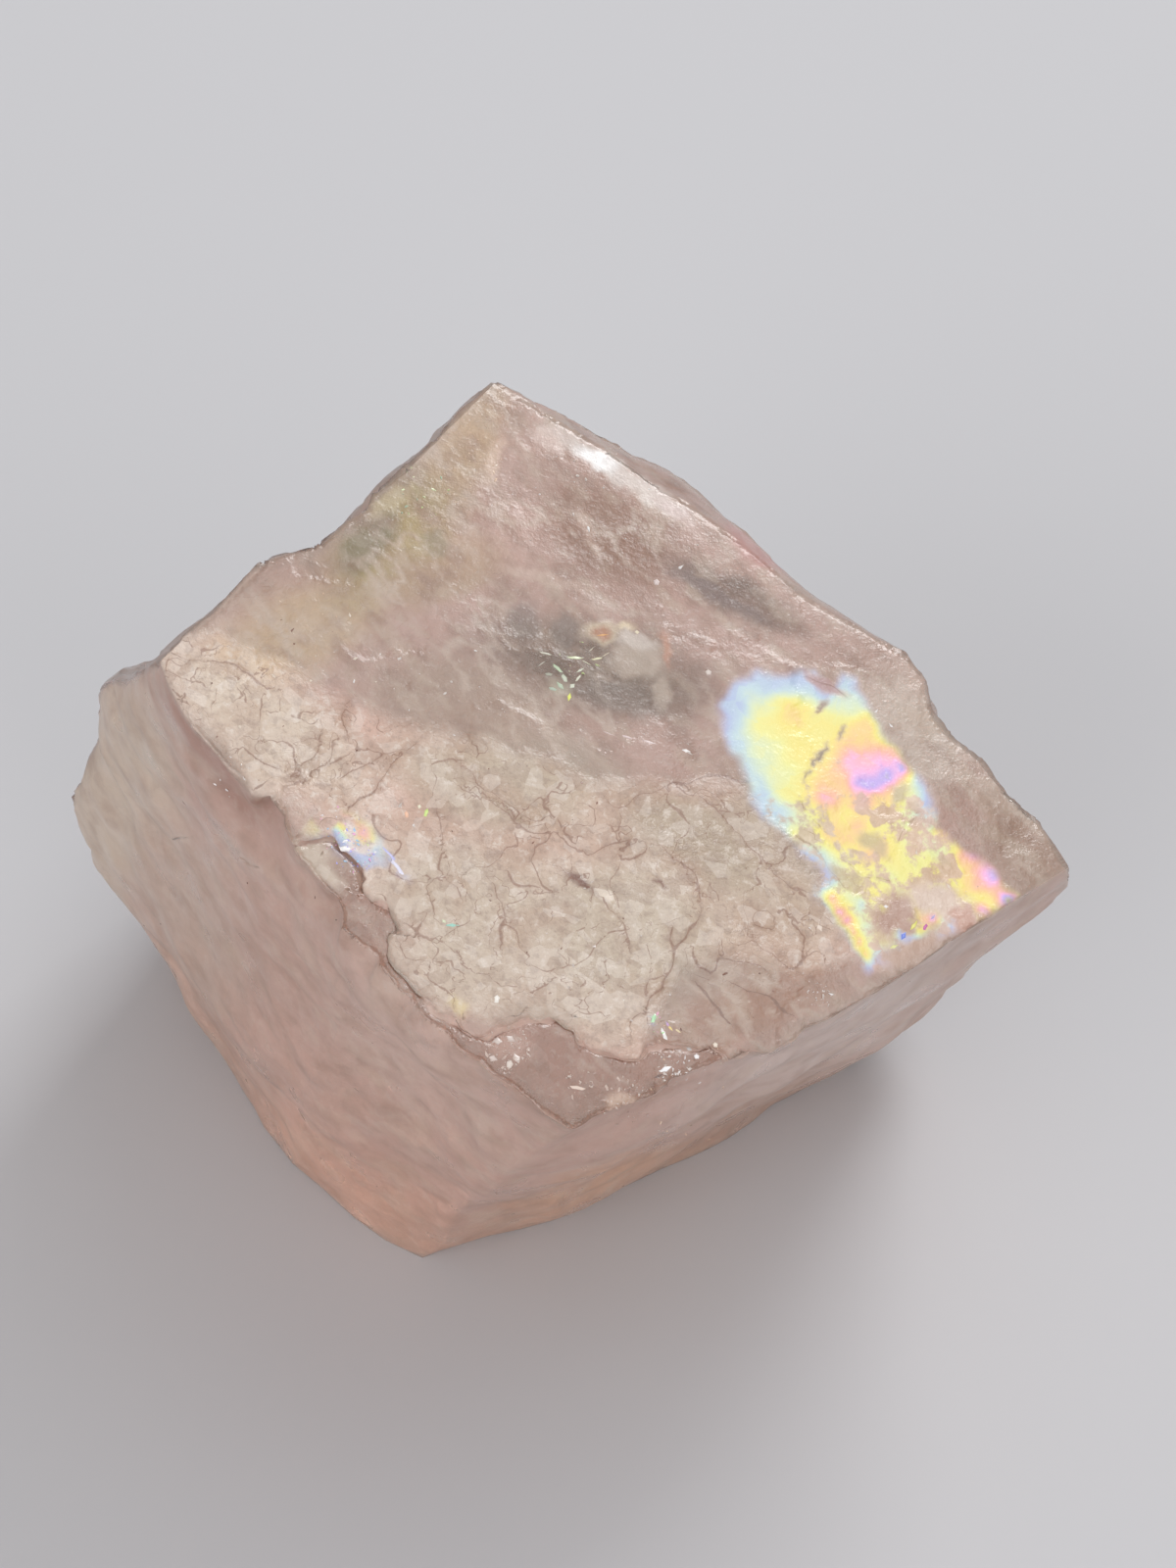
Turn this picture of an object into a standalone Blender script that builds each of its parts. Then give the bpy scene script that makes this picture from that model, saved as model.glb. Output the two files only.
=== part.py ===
"""Rough chunk of imperial topaz: one broken crystal, resting on a flat break.

A large cleavage plane slopes over the top towards the front and the right.  Its far rim is bevelled and its
near rim has lost a thin sheet, which leaves a jagged ledge.  Both front flanks lean in under the cleavage,
so the stone overhangs its foot.  The hidden back comes down in cleavage steps and shell-shaped breaks.

The shape is worked out in millimetres and turned into metres at the end.  +X is right, +Y is back, +Z is up.
The origin is the centre of the box that holds the stone, at the level that it rests on.
"""

import heapq

import bmesh
import bpy
from mathutils import Matrix, Vector, noise

MM = 0.001

# ---- driving dimensions, in millimetres -------------------------------------------------------------------

# The cleavage plane: its height over the origin, and how it falls to the right and rises to the back.
CLEAVAGE_HEIGHT = 20.7
CLEAVAGE_FALL_X = 0.26
CLEAVAGE_RISE_Y = 0.286

# Corners of the stone that lie in the cleavage plane, as (x, y).
CLEAVAGE_CORNERS = {
    "apex": (-1.4, 7.1),
    "bevel_start": (0.9, 5.9),
    "bevel_end": (4.2, 4.3),
    "right_shoulder": (9.9, 1.1),
    "tip_back": (13.6, -3.2),
    "tip_front": (14.3, -4.6),
    "front_right": (5.3, -11.2),
    "front_step": (3.1, -13.0),
    "front": (0.9, -13.9),
    "front_left": (-4.9, -9.7),
    "left": (-9.9, -3.3),
}

# Corners along the bevel and the shoulder behind the cleavage plane, as (x, y, z).
BEVEL_CORNERS = {
    "bevel_left": (0.6, 7.0, 21.9),
    "bevel_middle": (3.3, 6.5, 20.5),
    "bevel_right": (5.4, 5.1, 19.2),
    "shoulder_upper": (8.1, 3.4, 17.8),
    "shoulder_lower": (10.9, 1.7, 16.4),
}

# Corners down the flanks, as (x, y, z).
FLANK_CORNERS = {
    "left_brow": (-11.2, 0.1, 18.6),
    "left_upper": (-13.1, 3.6, 13.6),
    "left_bulge": (-14.4, 5.0, 9.0),
    "left_lower": (-14.2, 5.3, 5.6),
    "tip_under": (14.4, -3.3, 13.9),
    "tip_flank": (13.8, -1.6, 10.8),
    "right_flank": (13.2, 0.6, 7.0),
    "right_foot": (12.0, 2.9, 2.4),
    "front_heel": (-1.6, -6.4, 2.6),
    "back_left": (-10.2, 11.6, 8.6),
    "back": (0.4, 14.6, 8.6),
    "back_right": (9.4, 9.8, 8.4),
}

# Corners of the flat that the stone rests on, as (x, y).
FOOT_CORNERS = {
    "foot_left": (-12.2, 7.4),
    "foot_left_front": (-9.9, 1.2),
    "foot_front_left": (-8.0, -2.0),
    "foot_front": (-3.9, -5.2),
    "foot_front_right": (0.0, -4.4),
    "foot_right_front": (5.6, -1.0),
    "foot_right": (9.2, 2.2),
    "foot_back_right": (8.2, 10.0),
    "foot_back": (-0.6, 13.4),
    "foot_back_left": (-9.6, 12.4),
}

# The thin sheet that has come off the near corner of the cleavage: its thickness, and the jagged ledge
# that it left, as (x, y) from the left rim round to the right one.
SHEET_THICKNESS = 0.45
LEDGE = (
    (-9.0, -7.2),
    (-5.4, -7.5),
    (-4.4, -8.4),
    (-4.3, -9.0),
    (-3.7, -9.1),
    (-3.6, -10.1),
    (-3.0, -10.8),
    (-2.3, -11.3),
    (-1.2, -11.4),
    (0.0, -10.9),
    (0.7, -11.0),
    (1.3, -11.6),
    (2.3, -11.9),
    (3.3, -11.7),
    (4.6, -11.3),
    (7.0, -12.4),
)
LEDGE_CUT_FRONT = ((7.0, -18.0), (-9.0, -18.0))

# Steps down the hidden back, whose floors are parallel to the cleavage: the depth of each floor under the
# cleavage and its back wall, as (x, y) from left to right.
BACK_STEPS = {
    "upper": (5.2, ((-7.4, 12.0), (-3.6, 8.2), (0.6, 7.9), (3.8, 8.5), (7.6, 12.0))),
    "lower": (9.4, ((-10.5, 13.5), (-5.2, 9.6), (-1.0, 9.9), (5.0, 8.9), (10.0, 12.6))),
}
STEP_CUT_BACK = ((16.0, 24.0), (-16.0, 24.0))
SLAB_REACH = 6.0

# Shell-shaped breaks, each the dent of a large ball: (centre, radius, stretch along z).
SHELL_BREAKS = {
    "behind_the_left_rim": ((-9.6, 5.0, 21.2), 5.6, 1.0),
    "shoulder_notch": ((13.7, 1.4, 18.2), 3.4, 1.0),
    "lower_back": ((-7.6, 22.8, 5.2), 11.6, 0.7),
    "right_back": ((16.6, 14.2, 9.6), 9.8, 1.1),
    "under_the_left_rim": ((-10.6, -8.1, 19.6), 4.3, 1.0),
}
BALL_DETAIL = 3

# The size of the longest triangle edge that is sought, and what counts as a sliver.
EDGE_LENGTH = 1.6
SLIVER_LENGTH = 0.04
PLACES = 4

# Surface relief: height and width of its broad and fine waves.  They fade out into the flat cleavage, which
# keeps a trace of them, and into the foot.
BROAD_WAVE = (0.62, 5.0)
FINE_WAVE = (0.22, 1.8)
WAVE_OFFSETS = (Vector((0.0, 0.0, 0.0)), Vector((13.7, 5.1, 8.3)), Vector((4.4, 21.9, 17.2)))
CLEAVAGE_FADE = 2.2
CLEAVAGE_FLATNESS = 0.88
FOOT_FADE = 2.0

# ---- finish ------------------------------------------------------------------------------------------------

STONE_COLOUR = (0.72, 0.50, 0.43, 1.0)
STONE_ROUGHNESS = 0.3
STONE_TRANSMISSION = 0.6
STONE_IOR = 1.62


def clear_scene():
    for old in list(bpy.data.objects):
        bpy.data.objects.remove(old)


def cleavage_height(x, y):
    """Height of the cleavage plane over (x, y)."""
    return CLEAVAGE_HEIGHT - CLEAVAGE_FALL_X * x + CLEAVAGE_RISE_Y * y


def corner_points():
    points = [Vector((x, y, cleavage_height(x, y))) for x, y in CLEAVAGE_CORNERS.values()]
    points += [Vector(corner) for corner in BEVEL_CORNERS.values()]
    points += [Vector(corner) for corner in FLANK_CORNERS.values()]
    points += [Vector((x, y, 0.0)) for x, y in FOOT_CORNERS.values()]
    return points


def object_from(bm, name):
    mesh = bpy.data.meshes.new(name)
    bm.to_mesh(mesh)
    bm.free()
    made = bpy.data.objects.new(name, mesh)
    bpy.context.collection.objects.link(made)
    return made


def block():
    """The flat-faced block that spans all the corners."""
    bm = bmesh.new()
    for point in corner_points():
        bm.verts.new(point)
    bmesh.ops.convex_hull(bm, input=bm.verts)
    loose = [vert for vert in bm.verts if not vert.link_faces]
    bmesh.ops.delete(bm, geom=loose, context="VERTS")
    bmesh.ops.recalc_face_normals(bm, faces=bm.faces)
    return object_from(bm, "crystal")


def slab_cutter(outline, depth):
    """A slab whose floor is parallel to the cleavage, at a depth below it."""
    bm = bmesh.new()
    floor = [bm.verts.new((x, y, cleavage_height(x, y) - depth)) for x, y in outline]
    face = bm.faces.new(floor)
    roof = bmesh.ops.extrude_face_region(bm, geom=[face])["geom"]
    lifted = [item for item in roof if isinstance(item, bmesh.types.BMVert)]
    bmesh.ops.translate(bm, verts=lifted, vec=(0.0, 0.0, SLAB_REACH))
    bmesh.ops.triangulate(bm, faces=bm.faces)
    bmesh.ops.recalc_face_normals(bm, faces=bm.faces)
    return object_from(bm, "slab_cutter")


def ball_cutter(centre, radius, stretch):
    """The ball whose dent is a shell-shaped break."""
    bm = bmesh.new()
    place = Matrix.Translation(centre) @ Matrix.Diagonal((1.0, 1.0, stretch, 1.0))
    bmesh.ops.create_icosphere(bm, subdivisions=BALL_DETAIL, radius=radius, matrix=place)
    return object_from(bm, "ball_cutter")


def subtract(body, cutter):
    """Cuts the cutter out of the body and deletes the cutter."""
    cut = body.modifiers.new("cut", "BOOLEAN")
    cut.operation = "DIFFERENCE"
    cut.solver = "EXACT"
    cut.object = cutter
    graph = bpy.context.evaluated_depsgraph_get()
    result = bpy.data.meshes.new_from_object(body.evaluated_get(graph))
    body.modifiers.clear()
    body.data = result
    bpy.data.objects.remove(cutter)


def halve(edge):
    """Puts a point in the middle of an edge and joins it to the far corners of the two triangles there."""
    ends = set(edge.verts)
    sides = [(face, (set(face.verts) - ends).pop()) for face in edge.link_faces]
    middle = bmesh.utils.edge_split(edge, edge.verts[0], 0.5)[1]
    for face, corner in sides:
        bmesh.utils.face_split(face, middle, corner)
    return middle


def longest_first(edge):
    """Sorts edges by length, and those of one length by their place."""
    start, end = (vert.co for vert in edge.verts)
    middle = (start + end) / 2.0
    return (-round(edge.calc_length(), PLACES), *(round(value, PLACES) for value in middle))


def refine(bm, longest):
    """Halves the longest edge, again and again, until none is longer than the given length."""
    bmesh.ops.triangulate(bm, faces=bm.faces)
    bmesh.ops.dissolve_degenerate(bm, edges=bm.edges, dist=SLIVER_LENGTH)
    bmesh.ops.triangulate(bm, faces=bm.faces)
    queue = [(*longest_first(edge), edge) for edge in bm.edges]
    heapq.heapify(queue)
    while -queue[0][0] > longest:
        middle = halve(heapq.heappop(queue)[-1])
        for edge in middle.link_edges:
            heapq.heappush(queue, (*longest_first(edge), edge))


def wave(place, height_and_width):
    """A smooth irregular push, always the same for the same place."""
    height, width = height_and_width
    spot = place / width
    return height * Vector([noise.noise(spot + offset) for offset in WAVE_OFFSETS])


def relief(place, cleavage_normal):
    """How a point of the surface is moved: along the cleavage but not out of it, and not off the foot."""
    push = wave(place, BROAD_WAVE) + wave(place, FINE_WAVE)
    depth = cleavage_height(place.x, place.y) - place.z
    kept_flat = max(0.0, 1.0 - depth / CLEAVAGE_FADE)
    push -= cleavage_normal * push.dot(cleavage_normal) * kept_flat * CLEAVAGE_FLATNESS
    push.z *= min(place.z / FOOT_FADE, 1.0)
    return push


def roughen(bm):
    """Moves every point of the surface by the relief."""
    cleavage_normal = Vector((CLEAVAGE_FALL_X, -CLEAVAGE_RISE_Y, 1.0)).normalized()
    for vert in bm.verts:
        vert.co += relief(vert.co, cleavage_normal)


def centre_on_foot(bm):
    """Puts the middle of the stone's box over the origin."""
    xs = [vert.co.x for vert in bm.verts]
    ys = [vert.co.y for vert in bm.verts]
    middle = Vector(((min(xs) + max(xs)) / 2.0, (min(ys) + max(ys)) / 2.0, 0.0))
    bmesh.ops.translate(bm, verts=bm.verts, vec=-middle)


def stone_material():
    material = bpy.data.materials.new("topaz")
    material.use_nodes = True
    shader = material.node_tree.nodes["Principled BSDF"]
    shader.inputs["Base Color"].default_value = STONE_COLOUR
    shader.inputs["Roughness"].default_value = STONE_ROUGHNESS
    shader.inputs["Metallic"].default_value = 0.0
    shader.inputs["Transmission Weight"].default_value = STONE_TRANSMISSION
    shader.inputs["IOR"].default_value = STONE_IOR
    return material


def crystal():
    stone = block()
    subtract(stone, slab_cutter(LEDGE + LEDGE_CUT_FRONT, SHEET_THICKNESS))
    for depth, wall in BACK_STEPS.values():
        subtract(stone, slab_cutter(wall + STEP_CUT_BACK, depth))
    for centre, radius, stretch in SHELL_BREAKS.values():
        subtract(stone, ball_cutter(centre, radius, stretch))
    bm = bmesh.new()
    bm.from_mesh(stone.data)
    refine(bm, EDGE_LENGTH)
    roughen(bm)
    centre_on_foot(bm)
    bmesh.ops.scale(bm, verts=bm.verts, vec=(MM, MM, MM))
    bm.to_mesh(stone.data)
    bm.free()
    stone.data.materials.clear()
    stone.data.materials.append(stone_material())
    return stone


clear_scene()
crystal()
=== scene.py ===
"""Looks of the rough imperial topaz: its fine surface, the colour and clarity of each zone, the rainbow of
its cleavage crack as a painted film reflection, the small bright and dark flecks on it with painted glints
among them, and a plain studio round it."""

import heapq
import math
import random

import bmesh
import bpy
import numpy as np
from mathutils import Matrix, Vector, noise
from mathutils.bvhtree import BVHTree
from mathutils.kdtree import KDTree


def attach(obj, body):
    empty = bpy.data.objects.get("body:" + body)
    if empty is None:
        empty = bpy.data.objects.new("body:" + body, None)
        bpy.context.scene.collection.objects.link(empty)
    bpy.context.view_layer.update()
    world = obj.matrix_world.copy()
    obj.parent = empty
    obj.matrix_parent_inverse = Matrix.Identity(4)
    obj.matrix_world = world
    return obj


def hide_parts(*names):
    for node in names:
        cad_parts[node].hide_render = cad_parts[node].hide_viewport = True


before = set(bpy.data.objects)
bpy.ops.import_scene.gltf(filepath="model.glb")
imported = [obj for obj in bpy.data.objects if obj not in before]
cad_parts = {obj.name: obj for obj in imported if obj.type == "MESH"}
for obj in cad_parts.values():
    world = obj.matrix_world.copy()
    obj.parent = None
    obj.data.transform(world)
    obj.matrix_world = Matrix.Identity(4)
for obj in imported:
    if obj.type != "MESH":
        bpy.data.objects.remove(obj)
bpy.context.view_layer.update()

MM = 0.001
SEED = 7

# ---- the photograph's camera -------------------------------------------------------------------------------
# The camera looks along +Y and down.  FOCUS is the point of the stone that stands in the middle of the frame.

FRAME_WIDTH = 1200
FRAME_HEIGHT = 1600
ELEVATION = math.radians(45.0)
DISTANCE = 81.0 * MM
FOCUS = Vector((1.25, -6.37, 20.7)) * MM
SENSOR = 36.0
LENS = 72.9
FOCAL_PIXELS = LENS / SENSOR * FRAME_HEIGHT
VIEW_RIGHT = Vector((1.0, 0.0, 0.0))
VIEW_UP = Vector((0.0, math.sin(ELEVATION), math.cos(ELEVATION)))
VIEW_AHEAD = Vector((0.0, math.cos(ELEVATION), -math.sin(ELEVATION)))
EYE = FOCUS - VIEW_AHEAD * DISTANCE
PIXEL = DISTANCE / FOCAL_PIXELS

# ---- the stone's main planes -------------------------------------------------------------------------------

CLEAVAGE_HEIGHT = 20.82 * MM
CLEAVAGE_FALL_X = 0.26
CLEAVAGE_RISE_Y = 0.286
CLEAVAGE_NORMAL = Vector((CLEAVAGE_FALL_X, -CLEAVAGE_RISE_Y, 1.0)).normalized()
ALONG_CLEAVAGE = Vector((1.0, 0.0, -CLEAVAGE_FALL_X)).normalized()
DOWN_CLEAVAGE = CLEAVAGE_NORMAL.cross(ALONG_CLEAVAGE)
LEFT_FLANK_NORMAL = Vector((-0.77, -0.59, -0.23))
RIGHT_FLANK_NORMAL = Vector((0.51, -0.67, -0.54))


def seen_at(points):
    """The pixel columns and rows at which points of the stone stand in the photograph."""
    offset = points - np.array(EYE)
    depth = offset @ np.array(VIEW_AHEAD)
    column = FRAME_WIDTH / 2 + FOCAL_PIXELS * (offset @ np.array(VIEW_RIGHT)) / depth
    row = FRAME_HEIGHT / 2 - FOCAL_PIXELS * (offset @ np.array(VIEW_UP)) / depth
    return np.stack([column, row], axis=-1)


def ray_through(column, row):
    """The direction from the eye through a pixel of the photograph."""
    ray = VIEW_AHEAD + VIEW_RIGHT * (column - FRAME_WIDTH / 2) / FOCAL_PIXELS
    return (ray - VIEW_UP * (row - FRAME_HEIGHT / 2) / FOCAL_PIXELS).normalized()


def linear(red, green, blue):
    """A colour given in 0 to 255 display values, as linear light."""
    values = np.array([red, green, blue]) / 255.0
    return np.where(values <= 0.04045, values / 12.92, ((values + 0.055) / 1.055) ** 2.4)


def smooth_step(low, high, values):
    t = np.clip((values - low) / (high - low), 0.0, 1.0)
    return t * t * (3.0 - 2.0 * t)


def waves(points, width, seed, octaves=1):
    """Smooth noise from about -1 to 1 at each point, with waves of a width in millimetres."""
    total = np.zeros(len(points))
    for octave in range(octaves):
        scaled = points * (2.0**octave / (width * MM)) + np.array([seed, -seed, 0.7 * seed])
        total += np.array([noise.noise(place) for place in scaled.tolist()]) / 2.0**octave
    return total


# ---- fine surface ------------------------------------------------------------------------------------------

SHARP_ANGLE = math.radians(32.0)
FLANK_SHARP_ANGLE = math.radians(52.0)
CLEAVAGE_EDGE = 0.162 * MM
FLANK_EDGE = 0.36 * MM
FOOT_EDGE = 1.4 * MM
CLEAVAGE_DEPTH = 0.75 * MM
FOOT_LEVEL = 0.05 * MM
FOOT_FADE = 1.5 * MM
SMOOTHINGS = 8


def cleavage_depth(points):
    """How far points lie below the cleavage plane."""
    return (np.array([0.0, 0.0, CLEAVAGE_HEIGHT]) - points) @ np.array(CLEAVAGE_NORMAL)


def wanted_edge(middle):
    if middle.z < FOOT_LEVEL:
        return FOOT_EDGE
    if (Vector((0.0, 0.0, CLEAVAGE_HEIGHT)) - middle).dot(CLEAVAGE_NORMAL) < CLEAVAGE_DEPTH:
        return CLEAVAGE_EDGE
    return FLANK_EDGE


def excess(edge):
    """Sorts edges by how much too long they are, and equal ones by their place."""
    middle = (edge.verts[0].co + edge.verts[1].co) / 2.0
    return (-edge.calc_length() / wanted_edge(middle), middle.x, middle.y, middle.z)


def halve(edge):
    """Puts a point in the middle of an edge and joins it to the far corners of its two triangles."""
    ends = set(edge.verts)
    sides = [(face, (set(face.verts) - ends).pop()) for face in edge.link_faces]
    middle = bmesh.utils.edge_split(edge, edge.verts[0], 0.5)[1]
    for face, corner in sides:
        bmesh.utils.face_split(face, middle, corner)
    return middle


def refine(bm):
    """Halves the edges that are too long, the worst first."""
    queue = [(*excess(edge), edge) for edge in bm.edges]
    heapq.heapify(queue)
    while -queue[0][0] > 1.0:
        middle = halve(heapq.heappop(queue)[-1])
        for edge in middle.link_edges:
            heapq.heappush(queue, (*excess(edge), edge))


def is_sharp(edge):
    """Edges of the cleavage and the foot stay sharper than those of the flanks."""
    middle = (edge.verts[0].co + edge.verts[1].co) / 2.0
    limit = FLANK_SHARP_ANGLE if wanted_edge(middle) == FLANK_EDGE else SHARP_ANGLE
    return edge.calc_face_angle() > limit


def fine_stone():
    """The stone's solid in small triangles, with its facets smoothed between the sharp edges."""
    bm = bmesh.new()
    bm.from_mesh(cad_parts["crystal"].data)
    bmesh.ops.remove_doubles(bm, verts=bm.verts, dist=1e-7)
    bmesh.ops.triangulate(bm, faces=bm.faces)
    refine(bm)
    rim = {vert for edge in bm.edges if is_sharp(edge) for vert in edge.verts}
    inner = [vert for vert in bm.verts if vert not in rim and vert.co.z > FOOT_LEVEL]
    for _ in range(SMOOTHINGS):
        bmesh.ops.smooth_vert(bm, verts=inner, factor=0.5, use_axis_x=True, use_axis_y=True, use_axis_z=True)
    bm.normal_update()
    on_rim = np.array([vert in rim for vert in bm.verts])
    mesh = bpy.data.meshes.new("crystal_surface")
    bm.to_mesh(mesh)
    bm.free()
    stone = bpy.data.objects.new("crystal_surface", mesh)
    bpy.context.collection.objects.link(stone)
    return stone, on_rim


# ---- what is drawn on the faces ----------------------------------------------------------------------------
# Places are the photograph's pixels.  Each zone is (column, row, half width, half height, turn in degrees,
# colour in display values, strength).  Zones blend softly and marks have a firm outline.

PINK = linear(214, 178, 163)
BAND_COLOUR = linear(190, 146, 126)
# The foot's colour is a painted warm glow, stronger towards the bottom.
FOOT_GLOW_COLOUR = linear(212, 174, 152)
# The back's colour is paler partly as painted light, making up for the shade that falls on the back.
BACK_COLOUR_WITH_PAINTED_LIGHT = linear(242, 216, 202)
# A painted glow where the stone is thin, as if light came through it.
THIN_GLOW_COLOUR = linear(238, 206, 182)
# Paler edges: partly wear, partly a painted glow and highlight along the rims.
WEAR_AND_GLOW_COLOUR = linear(236, 218, 204)
WISP_COLOUR = linear(230, 210, 192)
# Tones that follow a noise: the colour, the noise's levels from which and up to which the tone grows, and its
# share on the cleavage and elsewhere.
TONES = {
    "smudge": (linear(176, 142, 120), (0.02, 0.5), (0.34, 0.24)),
    "veil": (linear(222, 202, 180), (0.05, 0.60), (0.45, 0.25)),
    "shade": (linear(164, 128, 108), (0.05, 0.60), (0.45, 0.28)),
}
# Streaks run to the front and the right, and are about twice as long as they are wide.
ACROSS_STREAKS = np.array([1.1, 1.3, 0.0])
ALONG_STREAKS = np.array([0.6, -0.5, 0.0])
# How strong tones are: the painted glow near the foot and where the stone is thin, the edges paler from wear
# and a painted glow, the painted glow behind the rim, and the stain beside cracks.
FOOT_GLOW_SHARE = 0.6
FOOT_GLOW = (6.0 * MM, 0.5 * MM)
THIN_GLOW_SHARE = 0.35
THIN_STONE = 1.8 * MM
WEAR_AND_GLOW_SHARE = 0.55
WEAR_AND_GLOW_WIDTH = 0.22 * MM
RIM_GLOW_SHARE = 0.6
RIM_GLOW = 3.0 * MM
CRACK_STAIN_SHARE = 0.35
CRACK_STAIN = 0.16
# Wisps lie where their noise is near zero: the share on bare cleavage, the lost sheet, the flanks, the back.
WISP_LEVELS = (0.02, 0.17)
WISP_SHARES = (0.6, 0.4, 0.25, 0.5)
# Zones have their full colour up to the core and none beyond the reach, in shares of their half width.
ZONE_CORE = 0.45
ZONE_REACH = 1.35

CLEAVAGE_ZONES = {
    "cream_left": (270, 740, 150, 58, 35, (216, 198, 180), 1.0),
    "cream_middle": (640, 955, 125, 95, 10, (200, 184, 165), 1.0),
    "beige_right": (800, 880, 90, 120, -10, (198, 180, 160), 0.9),
    "tan_middle": (560, 780, 90, 36, 15, (196, 178, 158), 0.9),
    "beige_low_left": (470, 930, 120, 90, 20, (204, 187, 169), 1.0),
    "grey_middle": (700, 850, 90, 50, 15, (178, 161, 140), 0.9),
    "beige_ledge": (520, 1012, 150, 36, 12, (202, 184, 166), 0.9),
    "grey_left": (500, 806, 120, 40, 20, (196, 180, 160), 0.9),
    "pink_middle": (480, 720, 100, 50, 10, (190, 164, 144), 0.9),
    "pink_upper": (620, 545, 90, 50, 35, (158, 112, 84), 0.9),
    "tan_left_top": (310, 640, 90, 46, -25, (222, 194, 158), 0.9),
    "olive": (400, 540, 90, 58, -42, (192, 172, 120), 1.0),
    "olive_low": (455, 585, 60, 30, -20, (196, 168, 132), 0.7),
    "olive_dark": (374, 552, 40, 22, -50, (136, 126, 86), 0.9),
    "apex_orange": (480, 440, 34, 60, 20, (222, 190, 148), 0.9),
    "smoky_window": (615, 685, 125, 46, 14, (132, 106, 84), 1.0),
    "smoky_streak": (750, 608, 74, 20, 28, (124, 98, 82), 0.9),
    "grey_right": (930, 745, 76, 46, 50, (230, 212, 196), 1.0),
    "tip": (1050, 855, 54, 60, 0, (188, 156, 134), 1.0),
    "red_low_right": (765, 1030, 90, 34, -22, (190, 148, 124), 1.0),
}
LEFT_ZONES = {
    "cream_shoulder": (115, 800, 70, 130, 0, (224, 204, 184), 1.0),
    "cream_low": (200, 930, 60, 110, -20, (214, 186, 168), 0.8),
    # A painted shade band on the flank just under the overhanging rim.
    "painted_shade_under_rim": (230, 775, 24, 120, -40, (186, 140, 124), 0.9),
    "shade_middle": (300, 960, 60, 90, -40, (214, 178, 162), 0.8),
    "mauve": (430, 1060, 120, 60, 42, (226, 196, 182), 0.9),
    # A painted warm glow along the foot of the left flank.
    "orange_foot_glow": (330, 1200, 170, 46, 28, (208, 164, 144), 0.9),
}
RIGHT_ZONES = {
    "grey_upper": (860, 1040, 200, 46, -33, (222, 202, 192), 0.9),
    # A painted warm glow along the foot of the right flank.
    "orange_foot_glow": (620, 1215, 150, 26, -20, (228, 182, 152), 1.0),
}
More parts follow.
